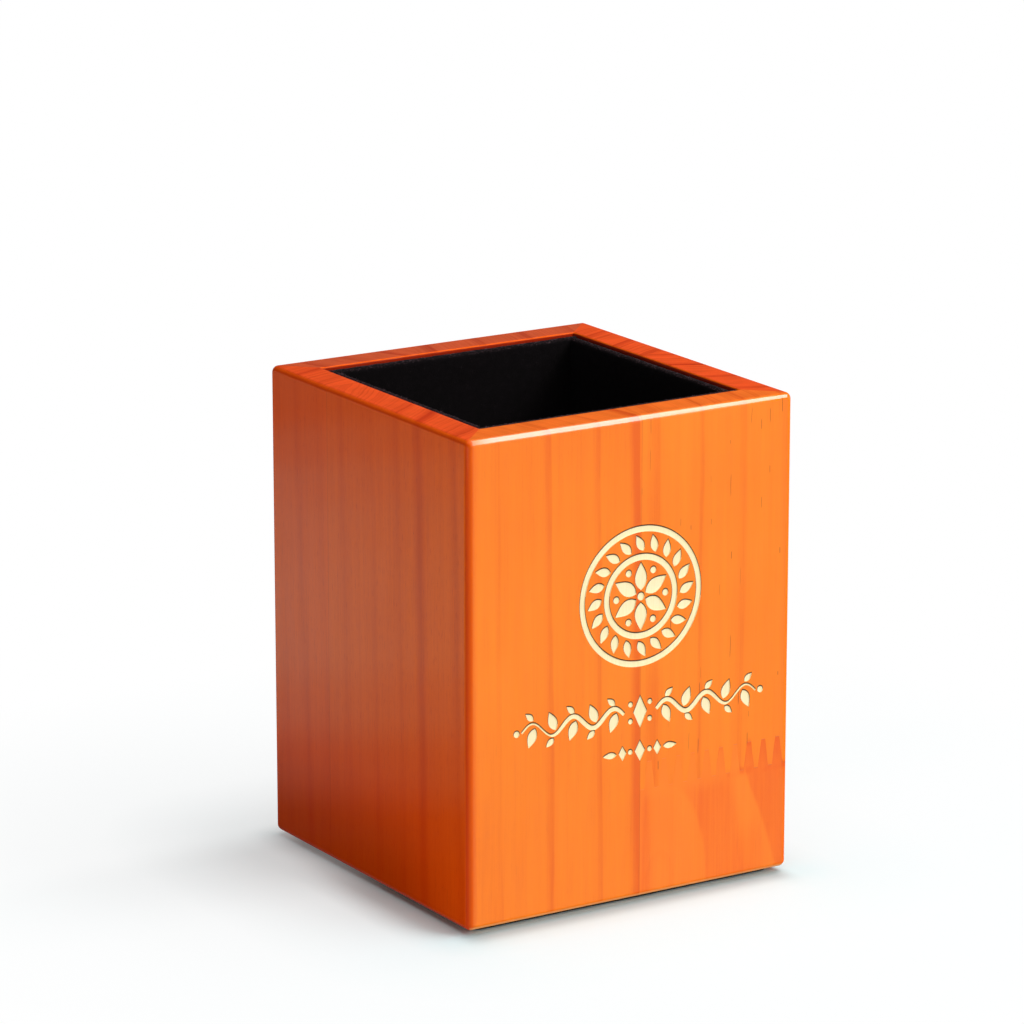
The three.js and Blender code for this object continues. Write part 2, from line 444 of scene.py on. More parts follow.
def resin_lines(amount, across, into, up):
    """Short dark resin canals along the grain, in random places."""
    graph = across.graph
    cell_across, cell_up = RESIN_CELL_MM
    along = across + wood_noise("resin_wobble", across, into, up) * RESIN_WOBBLE_MM
    cells = graph.join(along * (1 / cell_across), up * (1 / cell_up), 0.0)
    feeds = {"Vector": cells, "Scale": 1.0}
    voronoi = graph.node("ShaderNodeTexVoronoi", feeds, voronoi_dimensions="2D")
    here = cells.split()
    there = Field(graph, voronoi.outputs["Position"]).split()
    luck, long, deep = Field(graph, voronoi.outputs["Color"]).split()
    aside = abs(here[0] - there[0]) * cell_across
    away = abs(here[1] - there[1]) * cell_up
    ended = away.share(long.lifted(*RESIN_LENGTH_MM)).step(*RESIN_ENDS)
    line = aside.step(*RESIN_WIDTH_MM) * ended * luck.step(*RESIN_CHOSEN)
    least, strength = RESIN_DEPTH
    return line * ((deep + least) * (strength * amount))


JOINT_PATCH = (0.40, 0.62)
JOINT_PATCH_INTO_MM = 5.0
JOINT_DARKER_ACROSS_MM = (14.0, 36.0)
JOINT_LEAST = 0.15
SEAM_WIDTH_MM = (1.3, 0.2)
SEAM_STRENGTH = 0.45
ROOT_HEIGHT_MM = FINGER_BASE_MM - 0.3
ROOT_WIDTH_MM = (1.5, 0.2)
ROOT_STRENGTH = 0.30
TIP_HEIGHT_MM = (FINGER_BASE_MM - 1.0, FINGER_BASE_MM + FINGER_LENGTH_MM)


def joint_shade(fingers, across, up):
    """Stain that gathered along the finger joint, strongest towards the right, and in the lower
    stave's fingers where fingers says how much. Also how strong it is at this place across."""
    turns = (across - FIRST_FINGER_MM) * (1 / FINGER_PITCH_MM)
    aside = abs((turns + 0.5).fraction() - 0.5) * FINGER_PITCH_MM
    down = (aside - FINGER_TIP_MM / 2).share(FINGER_FLANK_MM)
    line = FINGER_BASE_MM + FINGER_LENGTH_MM - down * FINGER_LENGTH_MM
    patches = wood_noise("joint_patches", across, JOINT_PATCH_INTO_MM, up)
    patchy = patches.step(*JOINT_PATCH)
    rightwards = across.step(*JOINT_DARKER_ACROSS_MM) * (1 - JOINT_LEAST) + JOINT_LEAST
    seam = abs(up - line).step(*SEAM_WIDTH_MM) * patchy * (rightwards * SEAM_STRENGTH)
    root = abs(up - ROOT_HEIGHT_MM).step(*ROOT_WIDTH_MM)
    shade = seam + root * patchy * (rightwards * ROOT_STRENGTH)
    if fingers:
        shade = shade + up.step(*TIP_HEIGHT_MM) * rightwards * fingers
    return shade, rightwards


FLECK = (0.55, 0.72)
BASE_DARKNESS = 0.12
CLEARED_HEIGHT_MM = (FINGER_BASE_MM - 4.0, FINGER_BASE_MM + 1.0)
CLEARED = 0.85
MARGIN_END_MM = 4.0


def darkness_of(stave, late, noises, across, up):
    """How far the stain goes from early to late wood on the stave's planed faces."""
    uneven = (noises["fibre"] - 0.5) * stave["fibre"]
    for kind in ("strand", "cloud"):
        uneven = uneven + (noises[kind] - 0.5) * stave[kind]
    uneven = uneven + noises["flecks"].step(*FLECK) * stave["flecks"]
    darkness = late + (uneven + BASE_DARKNESS)
    if "reddening" in stave:
        share = up.share(WOOD_HEIGHT_MM)
        darkness = darkness + share.ramp(stave["reddening"], "EASE")
    if "joint" in stave:
        joined, rightwards = joint_shade(stave["joint"], across, up)
        if stave["joint"]:
            cleared = up.step(*CLEARED_HEIGHT_MM) * (1.0 - rightwards) * CLEARED
            darkness = darkness * (1.0 - cleared)
        darkness = darkness + joined
    for middle, rise, fall, strength, top in stave.get("margins", []):
        before = across.step(middle - rise, middle)
        after = across.step(middle + fall, middle)
        below = up.step(top + MARGIN_END_MM, top - MARGIN_END_MM)
        darkness = darkness + before * after * below * strength
    return darkness


# The left panel's polish, the painted shade that darkens its foot and rear, and the painted reflection
# that leaves it redder where its polish is less: (from, to) upwards, (from, to) along the panel,
# strength
POLISH_SLANT = 0.25
PAINTED_SHEEN_REDNESS = 0.5
POLISH_LOSS_FORWARDS = 0.42
PAINTED_REAR_SHADE = 0.06
PAINTED_FOOT_SHADE = ((27.0, 2.0), (40.0, 6.0), 0.26)
FOOT_SHEENLESS_REDNESS = ((42.0, 14.0), (42.0, 14.0), 0.24)
PIT = (0.62, 0.74)
PIT_CLUSTER = (0.44, 0.62)
PIT_STRENGTH = 0.16


def left_panel_painted_light_and_polish(colour, across, into, up):
    """The left panel's colour and its polish. The colour is painted redder where the polish is less, a
    painted reflection, darker at the foot and towards the rear as painted shade, and pitted.
    """

    def patch(upwards, along, strength):
        return up.step(*upwards) * across.step(*along) * strength

    evenly = (up - across * POLISH_SLANT).share(WOOD_HEIGHT_MM).ramp(LEFT_POLISH, "EASE")
    # Painted reflection: redder where less of the lacquer's sheen shows
    colour = ((1.0 - evenly) * PAINTED_SHEEN_REDNESS).mix(colour, SHEENLESS_RED)
    colour = patch(*FOOT_SHEENLESS_REDNESS).mix(colour, SHEENLESS_RED)
    forwards = across.step(-HALF_DEPTH_MM, HALF_DEPTH_MM)
    # Painted shade: darker at the foot and towards the rear, besides the real pits
    stain = patch(*PAINTED_FOOT_SHADE) + (1.0 - forwards) * PAINTED_REAR_SHADE
    pits = wood_noise("pits", across, into, up).step(*PIT)
    pits = pits * wood_noise("pit_clusters", across, into, up).step(*PIT_CLUSTER)
    stain = stain + pits * PIT_STRENGTH
    polish = evenly * (1.0 - forwards * POLISH_LOSS_FORWARDS)
    return colour.scaled(1.0 - stain), polish


# End grain: (from, to) of each noise and how much it darkens the wood
END_RING_STRENGTH = 1.1
END_LINE = (0.45, 0.75)
END_LINE_STRENGTH = 0.55
END_PORE = (0.55, 0.75)
END_PORE_STRENGTH = 0.25
END_MOTTLE = (0.36, 0.64)
END_MOTTLE_STRENGTH = 0.09
END_MOTTLE_INTO = 0.6


def end_grain_colour(stave, late, radius, across, into, up):
    seed = stave["seed"]
    lines = wood_noise("end_lines", radius, seed, up).step(*END_LINE)
    pores = wood_noise("end_pores", across, into, up).step(*END_PORE)
    ringed = late * END_RING_STRENGTH + lines * END_LINE_STRENGTH + pores * END_PORE_STRENGTH
    colour = ringed.mix(stave["tones"]["end"], stave["tones"]["end_ring"])
    mottle = wood_noise("end_mottle", across + seed, into * END_MOTTLE_INTO, up)
    mottled = mottle.step(*END_MOTTLE) * END_MOTTLE_STRENGTH + (1 - END_MOTTLE_STRENGTH)
    return colour.scaled(mottled)


# Where the surface turns: (from, to) of its normal's height, or of the largest of its three parts
END_GRAIN = (0.80, 0.98)
ARRIS = (0.995, 0.90)
ROUNDED = (0.9990, 0.985)
SHOULDER = (0.40, 0.80)
UNDER_EDGE = (-0.30, -0.65)
UPPER_EDGE = (0.05, 0.35)
UPRIGHT = (0.6, 0.3)

# Edges and joints: (from, to) in mm, and strengths
RIM_INTO_MM = (1.2, 2.0)
INNER_FACE_MM = (7.9, 8.3)
GLUE_WIDTH_MM = (0.16, 0.05)
GLUE_STRENGTH = 0.25
EDGE_STRENGTH = 0.75
SHOULDER_CLEARING = 0.8
LOWER_EDGE_HIGHLIGHT_STRENGTH = 0.75
CORNER_MM = (1.6 - HALF_WIDTH_MM, 0.4 - HALF_WIDTH_MM)
CORNER_STRENGTH = 0.6

# Lacquer: how strongly the top edges shine, the front's less at its left corner
SIDE_TOP_EDGE_COAT = 0.22
FRONT_TOP_EDGE_COAT = (0.25, 0.45)
FRONT_TOP_EDGE_MM = (0.8 - HALF_WIDTH_MM, 7.0 - HALF_WIDTH_MM)
COAT_GRAIN = (0.55, 0.9)
COAT_ROUGHNESS = 0.07
COAT_IOR = 1.8

WOOD_ROUGHNESS = (0.40, 0.16)
WOOD_RELIEF = 0.00002
RELIEF_STRENGTH = 0.6
FIBRE_RELIEF = 0.6
LATE_RELIEF = 0.4
RESIN_RELIEF = 0.8


def wood_material(name, stave):
    graph = material_graph(name)
    place = panel_place(graph, stave["panel"])
    across, into, up = place
    late, radius = ring_shade(stave, *place)
    shifted = across + stave["seed"]
    kinds = ("fibre", "strand", "cloud", "flecks")
    noises = {kind: wood_noise(kind, shifted, into, up) for kind in kinds}
    fibre = noises["fibre"]
    darkness = darkness_of(stave, late, noises, across, up)
    colour = darkness.mix(stave["tones"]["early"], stave["tones"]["late"])
    polish = 1.0
    if stave["panel"] == "left":
        colour, polish = left_panel_painted_light_and_polish(colour, *place)

    normal = graph.output("ShaderNodeNewGeometry", "Normal").split()
    facing = [abs(part) for part in normal]
    flatness = facing[0].either(facing[1]).either(facing[2])
    end_grain = facing[2].step(*END_GRAIN)
    side_grain = 1.0 - end_grain
    rounded = flatness.step(*ROUNDED)
    colour = end_grain.mix(colour, end_grain_colour(stave, late, radius, *place))

    resin = resin_lines(stave["resin"], *place) * side_grain
    colour = resin.mix(colour, RESIN)
    joint = abs(across - stave["glue"]).step(*GLUE_WIDTH_MM)
    colour = (joint * GLUE_STRENGTH).mix(colour, GLUE)
    if stave["panel"] == "front":
        # Painted highlight: a pale line along the front's lower rounded edge, where the floor would
        # reflect
        lower_edge_highlight = normal[2].step(*UNDER_EDGE)
        colour = (lower_edge_highlight * LOWER_EDGE_HIGHLIGHT_STRENGTH).mix(colour, PAINTED_LOWER_EDGE_HIGHLIGHT)
        corner = across.step(*CORNER_MM) * side_grain
        colour = (corner * CORNER_STRENGTH).mix(colour, EDGE_STAIN)
        top_edge_coat = across.step(*FRONT_TOP_EDGE_MM).lifted(*FRONT_TOP_EDGE_COAT)
    else:
        shoulder = normal[2].step(*SHOULDER)
        stained = flatness.step(*ARRIS) * (1.0 - shoulder * SHOULDER_CLEARING)
        colour = (stained * EDGE_STRENGTH).mix(colour, EDGE_STAIN)
        top_edge_coat = SIDE_TOP_EDGE_COAT
    # Darker red on the inner face above the felt: stain, and painted shade inside the cup
    inner_face = into.step(*INNER_FACE_MM) * facing[2].step(*UPRIGHT)
    colour = inner_face.mix(colour, INSIDE_STAIN_AND_SHADE)

    face_coat = fibre.lifted(*COAT_GRAIN) * stave["coat"] * polish
    edge_coat = normal[2].step(*UPPER_EDGE).mix(stave["edge_coat"], top_edge_coat)
    outer_coat = rounded.mix(face_coat, edge_coat)
    rim_coat = rounded.mix(*stave["rim_coats"])
    relief = fibre * FIBRE_RELIEF - late * LATE_RELIEF - resin * RESIN_RELIEF
    return graph.principled(
        base_color=colour,
        roughness=fibre.lifted(*WOOD_ROUGHNESS),
        specular_ior_level=0.0,
        normal=relief.bump(WOOD_RELIEF, RELIEF_STRENGTH),
        coat_weight=into.step(*RIM_INTO_MM).mix(outer_coat, rim_coat),
        coat_roughness=COAT_ROUGHNESS,
        coat_ior=COAT_IOR,
    )


VENEERS_PER_MM = 0.6
VENEER_EDGE = (0.45, 0.55)
VENEER_STRENGTH = 0.35
PLYWOOD_GRAIN_STRETCH = 0.04


def plywood_material():
    graph = material_graph("board_plywood")
    x, y, z = graph.place().split()
    dark_ply = (z * VENEERS_PER_MM).fraction().step(*VENEER_EDGE)
    grain = graph.join(x * PLYWOOD_GRAIN_STRETCH, y, z).noise(1.6, 4.0)
    colour = grain.mix(rgb(0.62, 0.43, 0.22), rgb(0.46, 0.28, 0.12))
    colour = (dark_ply * VENEER_STRENGTH).mix(colour, rgb(0.30, 0.17, 0.07))
    normal = grain.bump(0.00004, 0.6)
    return graph.principled(base_color=colour, roughness=grain * 0.2 + 0.6, normal=normal)


FELT_SHADES = [
    (0.30, rgb(0.002, 0.002, 0.002)),
    (0.60, rgb(0.005, 0.004, 0.0045)),
    (0.80, rgb(0.03, 0.022, 0.024)),
]
HAIR_SHARE = 0.7
CUT_EDGE_MM = (WOOD_TOP / MM - 1.5, WOOD_TOP / MM - 0.6)
CUT_RAGGED_MM = 0.8
# Paler spots on the felt's cut top edge: lint, and a painted highlight
LINT_AND_GLINT_SPOT = (0.50, 0.68)
LINT_AND_GLINT_LEAST = 0.05
LINT_AND_GLINT_MORE = 0.85


def felt_material():
    """Black felt, paler on its cut top edge: loose fibres, and a painted highlight of the light they
    catch.
    """
    graph = material_graph("black_felt")
    place = graph.place()
    hairs = place.noise(3.0, 4.0, 0.75)
    tufts = place.noise(0.7)
    shade = hairs * HAIR_SHARE + tufts * (1 - HAIR_SHARE)
    ragged = place.split()[2] + (tufts - 0.5) * CUT_RAGGED_MM
    cut = ragged.step(*CUT_EDGE_MM)
    lint_and_glint = place.noise(2.1, 2.0, 0.7).step(*LINT_AND_GLINT_SPOT) * LINT_AND_GLINT_MORE + LINT_AND_GLINT_LEAST
    return graph.principled(
        base_color=(cut * lint_and_glint).mix(shade.ramp(FELT_SHADES), LINT_AND_GLINT),
        roughness=hairs * 0.1 + 0.88,
        specular_ior_level=0.03,
        sheen_weight=0.06,
        sheen_roughness=0.5,
        sheen_tint=rgb(0.55, 0.42, 0.46),
        normal=shade.bump(0.0002, 0.8),
    )


def fuzz_material():
    graph = material_graph("felt_fuzz")
    pale = graph.place().noise(0.9, 1.0)
    colour = pale.mix(rgb(0.03, 0.019, 0.022), rgb(0.20, 0.115, 0.135))
    return graph.principled(base_color=colour, roughness=0.9, specular_ior_level=0.1)


FILL_GRAIN = (0.35, 0.75)
FILL_GRAIN_STRETCH = 0.08
FILL_SPECK = (0.62, 0.75)
FILL_SPECK_STRENGTH = 0.2


def fill_material():
    """Cream paint in the engraved pockets."""
    graph = material_graph("engraving_cream")
    place = graph.place()
    x, y, z = place.split()
    grain = graph.join(x, y, z * FILL_GRAIN_STRETCH).noise(2.4, 3.0)
    speck = place.noise(4.0).step(*FILL_SPECK)
    colour = grain.step(*FILL_GRAIN).mix(rgb(0.98, 0.87, 0.55), rgb(0.96, 0.82, 0.47))
    colour = (speck * FILL_SPECK_STRENGTH).mix(colour, rgb(0.70, 0.42, 0.14))
    return graph.principled(
        base_color=colour,
        roughness=grain * 0.2 + 0.5,
        specular_ior_level=0.3,
        normal=grain.bump(0.00003, 0.7),
    )


def char_and_shadow_material():
    """Dark burnt-looking wood at the upper left edge of each engraved pocket: partly char from the
    engraving, partly a painted shadow of the pocket's upper edge.
    """
    graph = material_graph("engraving_scorch")
    char = graph.place().noise(3.0, 3.0)
    return graph.principled(
        base_color=char.mix(rgb(0.030, 0.011, 0.004), rgb(0.12, 0.038, 0.009)),
        roughness=char * 0.2 + 0.6,
        specular_ior_level=0.2,
        normal=char.bump(0.00003, 0.7),
    )


GLUE_DARKER_X_MM = (12.0, 36.0)


def glue_material():
    """Glue line darkened by the stain, more so towards the right."""
    graph = material_graph("joint_glue")
    place = graph.place()
    patch = place.noise(0.5)
    rightwards = place.split()[0].step(*GLUE_DARKER_X_MM)
    shade = (patch * 0.5 + 0.35) * rightwards
    colour = shade.mix(rgb(0.97, 0.200, 0.010), rgb(0.58, 0.066, 0.005))
    return graph.principled(base_color=colour, roughness=patch * 0.2 + 0.4)


def link(name, data):
    piece = bpy.data.objects.new(name, data)
    bpy.context.scene.collection.objects.link(piece)
    return piece


def mesh_from(build, *materials):
    """A mesh filled by build(bm), its normals pointing out."""
    bm = bmesh.new()
    build(bm)
    bmesh.ops.recalc_face_normals(bm, faces=bm.faces[:])
    mesh = bpy.data.meshes.new("mesh")
    bm.to_mesh(mesh)
    bm.free()
    for material in materials:
        mesh.materials.append(material)
    return mesh


def bridge(bm, a, b, start=0):
    """Faces between two rows of points: open rows with start 1, closed rings with start 0."""
    return [bm.faces.new((a[i - 1], a[i], b[i], b[i - 1])) for i in range(start, len(a))]


WELD_DISTANCE = 1e-6
ARRIS_ANGLE = math.radians(32)


def shade_rounds(piece):
    """Smooth rounds and crisp arrises on a faceted CAD mesh, whose own points stay as they are."""
    mesh = piece.data
    if "custom_normal" in mesh.attributes:
        mesh.attributes.remove(mesh.attributes["custom_normal"])
    mesh.polygons.foreach_set("use_smooth", [True] * len(mesh.polygons))
    weld = piece.modifiers.new("weld", "WELD")
    weld.merge_threshold = WELD_DISTANCE
    arris = piece.modifiers.new("arris", "EDGE_SPLIT")
    arris.use_edge_sharp = False
    arris.split_angle = ARRIS_ANGLE
    piece.modifiers.new("even", "WEIGHTED_NORMAL")


def turned(points, angle):
    cosine = math.cos(angle)
    sine = math.sin(angle)
    return [(x * cosine - z * sine, x * sine + z * cosine) for x, z in points]


def moved(points, dx, dz=0.0):
    return [(x + dx, z + dz) for x, z in points]


def directions(points, closed):
    """Each point's way along the line, from the point before it to the one after."""
    last = len(points) - 1
    for index in range(last + 1):
        before = points[index - 1 if closed else max(index - 1, 0)]
        after = points[(index + 1) % (last + 1) if closed else min(index + 1, last)]
        yield Vector((after[0] - before[0], after[1] - before[1])).normalized()


def grown(points, margin):
    """A closed ring of points moved outwards by margin."""
    pairs = zip(points[-1:] + points, points)
    turn = math.copysign(1, sum(a[0] * b[1] - b[0] * a[1] for a, b in pairs)) * margin
    ways = directions(points, True)
    return [(x + way.y * turn, z - way.x * turn) for (x, z), way in zip(points, ways)]


def circle(radius, steps):
    angles = [2 * math.pi * step / steps for step in range(steps)]
    return [(radius * math.cos(angle), radius * math.sin(angle)) for angle in angles]


LEAF_STEPS = 9
LEAF_FULLEST = 0.8


def leaf(length, width):
    """A pointed leaf along X from its root at the origin, fullest before its middle."""
    upper = []
    for step in range(LEAF_STEPS + 1):
        share = step / LEAF_STEPS
        upper.append((length * share, width / 2 * math.sin(math.pi * share**LEAF_FULLEST)))
    return upper + [(x, -z) for x, z in reversed(upper[1:-1])]


def lozenge(half_width, half_height):
    return [(half_width, 0), (0, half_height), (-half_width, 0), (0, -half_height)]


def ribbon(points, widths):
    """A band of changing width along a line of points."""
    left = []
    right = []
    for (x, z), way, width in zip(points, directions(points, False), widths):
        half = width / 2
        left.append((x - way.y * half, z + way.x * half))
        right.append((x + way.y * half, z - way.x * half))
    return left + right[::-1]


# Engraving: a rosette in a wreath, a vine and a row of lozenges, as plane figures. Each figure is a list
# of closed rings of (x, z) points, an outer one and perhaps an inner one.
ROSETTE_CENTRE = (2.25, 68.0)
VINE_CENTRE = (2.25, 42.2)
TRIO_CENTRE = (2.25, 33.4)

# Rings of (radius, stroke), and shapes that stand all round: (shape, how many, where the first one is)
WREATH_RINGS = ((15.6, 1.25), (9.4, 1.3))
ROSETTE_EYE = circle(0.85, 24)
ROSETTE_SHAPES = (
    (moved(turned(leaf(3.9, 1.9), math.radians(28)), 10.1, -0.6), 20, 0.0),
    (moved(leaf(6.1, 3.0), 1.4), 6, 0.5),
    (moved(circle(0.72, 20), 6.3), 6, 1.0),
)

# The vine's right half, with (leaf, slant, place) for the leaves at each bend
VINE_PERIOD = 10.4
VINE_SWING = 1.7
VINE_START = 4.2
VINE_BENDS = 5
VINE_LENGTH = VINE_PERIOD * VINE_BENDS / 2
VINE_STEPS = 80
VINE_WIDTH = (0.35, 0.65)
VINE_LEAVES = (
    (leaf(4.4, 2.2), math.radians(-68), (-0.75, 0.55)),
    (leaf(2.5, 1.3), math.radians(40), (-0.3, VINE_SWING + 0.75)),
)
VINE_DOTS = (
    moved(circle(0.7, 20), VINE_START + VINE_LENGTH + 1.3),
    moved(circle(0.55, 16), 2.5, 1.9),
    moved(circle(0.55, 16), 2.5, -1.9),
)
VINE_LOZENGE = lozenge(1.7, 3.6)

# The row of lozenges, and its right half
TRIO_LOZENGE = lozenge(1.3, 2.3)
TRIO_SHAPES = (moved(circle(0.55, 16), 2.5), moved(lozenge(0.95, 1.6), 4.5), moved(leaf(3.4, 1.3), 6.1))


def centred(figures, centre):
    return [[moved(loop, *centre) for loop in figure] for figure in figures]


def on_both_sides(shapes):
    """A figure of each shape, and one of its mirror image."""
    return [[[(side * x, z) for x, z in shape]] for side in (-1, 1) for shape in shapes]


def rosette_figures():
    figures = [[circle(radius, 96), circle(radius - stroke, 96)] for radius, stroke in WREATH_RINGS]
    for shape, count, first in ROSETTE_SHAPES:
        for index in range(count):
            figures.append([turned(shape, 2 * math.pi * (index + first) / count)])
    return centred(figures + [[ROSETTE_EYE]], ROSETTE_CENTRE)


def vine_figures():
    """Two vines that mirror each other about a lozenge."""
    least, more = VINE_WIDTH
    stem = []
    widths = []
    for step in range(VINE_STEPS + 1):
        share = step / VINE_STEPS
        along = VINE_LENGTH * share
        stem.append((VINE_START + along, VINE_SWING * math.sin(2 * math.pi * along / VINE_PERIOD)))
        widths.append(least + more * math.sin(math.pi * min(share * 1.25 + 0.1, 1.0)) ** 0.5)
    shapes = [ribbon(stem, widths), *VINE_DOTS]
    for bend in range(VINE_BENDS):
        up = -1 if bend % 2 else 1
        middle = VINE_START + VINE_PERIOD * (0.25 + 0.5 * bend)
        for blade, slant, (dx, dz) in VINE_LEAVES:
            shapes.append(moved(turned(blade, up * slant), middle + dx, up * dz))
    return centred(on_both_sides(shapes) + [[VINE_LOZENGE]], VINE_CENTRE)


def trio_figures():
    return centred(on_both_sides(TRIO_SHAPES) + [[TRIO_LOZENGE]], TRIO_CENTRE)


# The dark rim of each pocket: char all round, shifted up and left as a painted shadow of the pocket's
# upper edge
POCKET_DEPTH = 0.22
CHAR_AND_SHADOW_DEPTH = 0.10
CHAR_AND_SHADOW_MARGIN = 0.10
PAINTED_SHADOW_SHIFT = (-0.07, 0.20)
CUTTER_OVERRUN = 1.0


def cutter(name, figures, depth, margin, shift, material):
    """Every figure, margin mm wider all round, as a prism from in front of the face to depth mm in."""
    front = FRONT_FACE - CUTTER_OVERRUN * MM
    back = FRONT_FACE + depth * MM

    def build(bm):
        for figure in figures:
            walls = []
            for level, loop in enumerate(figure):
                points = moved(grown(loop, -margin if level else margin), *shift)
                rows = [
                    [bm.verts.new((x * MM, y, WOOD_FLOOR + z * MM)) for x, z in points]
                    for y in (front, back)
                ]
                walls.append(rows)
                bridge(bm, *rows)
            for level in (0, 1):
                if len(walls) == 1:
                    bm.faces.new(walls[0][level])
                else:
                    bridge(bm, walls[0][level], walls[1][level])

    piece = link(name, mesh_from(build, material))
    piece.hide_render = True
    return piece


def engraved_stave(node_name, material, cutters):
    """A copy of the CAD stave with the engraving cut into its face."""
    mesh = nodes[node_name].data.copy()
    mesh.materials.clear()
    mesh.materials.append(material)
    mesh.attributes.remove(mesh.attributes["custom_normal"])
    bm = bmesh.new()
    bm.from_mesh(mesh)
    bmesh.ops.remove_doubles(bm, verts=bm.verts[:], dist=WELD_DISTANCE)
    bm.to_mesh(mesh)
    bm.free()
    blank = link(node_name + "_blank", mesh)
    for tool in cutters:
        cut = blank.modifiers.new(tool.name, "BOOLEAN")
        cut.operation = "DIFFERENCE"
        cut.solver = "EXACT"
        cut.use_self = True
        cut.material_mode = "TRANSFER"
        cut.object = tool
    evaluated = blank.evaluated_get(bpy.context.evaluated_depsgraph_get())
    piece = link(node_name + "_engraved", bpy.data.meshes.new_from_object(evaluated))
    bpy.data.objects.remove(blank)
    shade_rounds(piece)
    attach(piece, "root")
    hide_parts(node_name)


GLUE_DEPTH_MM = 1.2
GLUE_SET_BACK_MM = 0.02
GLUE_END_MM = 40.0


def finger_line():
    """The zigzag of the finger joint, from the glue line towards the right, as (x, z) points."""
    corners = []
    tip = FIRST_FINGER_MM - FINGER_PITCH_MM
    half = FINGER_TIP_MM / 2
    high = FINGER_BASE_MM + FINGER_LENGTH_MM
    while tip < GLUE_END_MM:
        corners += [(tip - half, high), (tip + half, high)]
        foot = tip + half + FINGER_FLANK_MM
        corners += [(foot, FINGER_BASE_MM), (foot + FINGER_TIP_MM, FINGER_BASE_MM)]
        tip += FINGER_PITCH_MM
    line = []
    for (x0, z0), (x1, z1) in zip(corners, corners[1:]):
        for end in (GLUE_LINE_MM, GLUE_END_MM):
            if x0 < end <= x1:
                line.append((end, z0 + (z1 - z0) * (end - x0) / (x1 - x0)))
        if GLUE_LINE_MM < x1 < GLUE_END_MM:
            line.append((x1, z1))
    return sorted(line)


def joint_glue():
    """The glue between the fingers, a ribbon as thick as the gap, just behind the face."""
    front = FRONT_FACE + GLUE_SET_BACK_MM * MM
    back = FRONT_FACE + GLUE_DEPTH_MM * MM
    half = JOINT_GAP_MM / 2 * MM

    def build(bm):
        sections = []
        for x, z in finger_line():
            height = WOOD_FLOOR + z * MM
            corners = ((front, -half), (front, half), (back, half), (back, -half))
            sections.append([bm.verts.new((x * MM, y, height + off)) for y, off in corners])
        for a, b in zip(sections, sections[1:]):
            bridge(bm, a, b)
        bm.faces.new(sections[0])
        bm.faces.new(sections[-1][::-1])

    piece = link("finger_joint_glue", mesh_from(build, glue_material()))
    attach(piece, "root")


FELT_CELL_MM = 1.1
FELT_ROUND_STEPS = 10
FELT_UNEVEN_MM = 0.07
FELT_WAVE_MM = 3.1
FELT_FINER_WAVE = 3.7
FELT_INTO_STRETCH = 9
FELT_TOP_SAG_MM = 0.14
FELT_SAG_WAVES = 1.7
SHEET_WAVE_MM = 2.7
FELT_SOFT_EDGE_MM = 0.35
FELT_RIM_DENT = 0.55
FELT_SMOOTH_ANGLE = math.radians(70)
FUZZ_CLEARANCE = 0.00002


def felt_section(thickness, height):
    """The outline of a felt strip's end, from the outer foot over the rounded top to the inner foot."""
    rows = max(2, round(height / FELT_CELL_MM))
    points = [(0.0, height * row / rows) for row in range(rows)]
    half = thickness / 2
    for step in range(FELT_ROUND_STEPS + 1):
        angle = math.pi * (1 - step / FELT_ROUND_STEPS)
        points.append((half + half * math.cos(angle), height - half + half * math.sin(angle)))
    points += [(thickness, height * row / rows) for row in range(rows - 1, -1, -1)]
    return points


def finish_felt(name, node_name, mesh):
    mesh.polygons.foreach_set("use_smooth", [True] * len(mesh.polygons))
    mesh.set_sharp_from_angle(angle=FELT_SMOOTH_ANGLE)
    piece = link(name, mesh)
    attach(piece, "root")
    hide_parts(node_name)
    return piece


def felt_strip(side, inward, drop):
    """A wall's felt lining in its CAD solid's place, uneven, with a fuzzy top edge drop mm lower."""
    node_name = "lining_" + side
    low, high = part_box(node_name)
    size = (high - low) / MM
    along_x = size.x > size.y
    length = max(size.x, size.y)
    thickness = min(size.x, size.y)
    height = size.z - drop
    section = felt_section(thickness, height)
    columns = round(length / FELT_CELL_MM)
    centre = (low + high) / 2
    middle = centre.x if along_x else centre.y
    wall = low if inward > 0 else high
    back_face = wall.y if along_x else wall.x

    def place(along, into, up):
        spot = Vector((along, into * FELT_INTO_STRETCH, up)) / FELT_WAVE_MM
        wave = noise.noise(spot) + 0.5 * noise.noise(spot * FELT_FINER_WAVE)
        inner = min(max(into / thickness, 0), 1)
        into -= FELT_UNEVEN_MM * (0.5 + 0.5 * wave) * inner
        if up > height - thickness:
            up -= FELT_TOP_SAG_MM * (1 + noise.noise(Vector((along, into, 0)) * FELT_SAG_WAVES))
        sideways = middle + along * MM
        across = back_face + inward * into * MM
        x, y = (sideways, across) if along_x else (across, sideways)
        return Vector((x, y, min(low.z + up * MM, WOOD_TOP - FUZZ_CLEARANCE)))

    def build(bm):
        rows = []
        for column in range(columns + 1):
            along = length * (column / columns - 0.5)
            rows.append([bm.verts.new(place(along, into, up)) for into, up in section])
        for a, b in zip(rows, rows[1:]):
            bridge(bm, a, b)
        bm.faces.new(rows[0])
        bm.faces.new(rows[-1][::-1])
        add_fuzz(bm, place, length, thickness, height)

    piece = finish_felt("felt_" + side, node_name, mesh_from(build, FELT, FUZZ))


FUZZ_PER_MM = 7.0
FUZZ_RADIUS_MM = 0.045
FUZZ_SIDES = 3
FUZZ_ROOT_MM = 0.35
FUZZ_CLIMB_MM = 0.3
FUZZ_DROOP = 0.4
FUZZ_FACE_GAP_MM = 0.03
FUZZ_TAPER = ((0.0, 1.0), (0.55, 0.85), (1.0, 0.3))

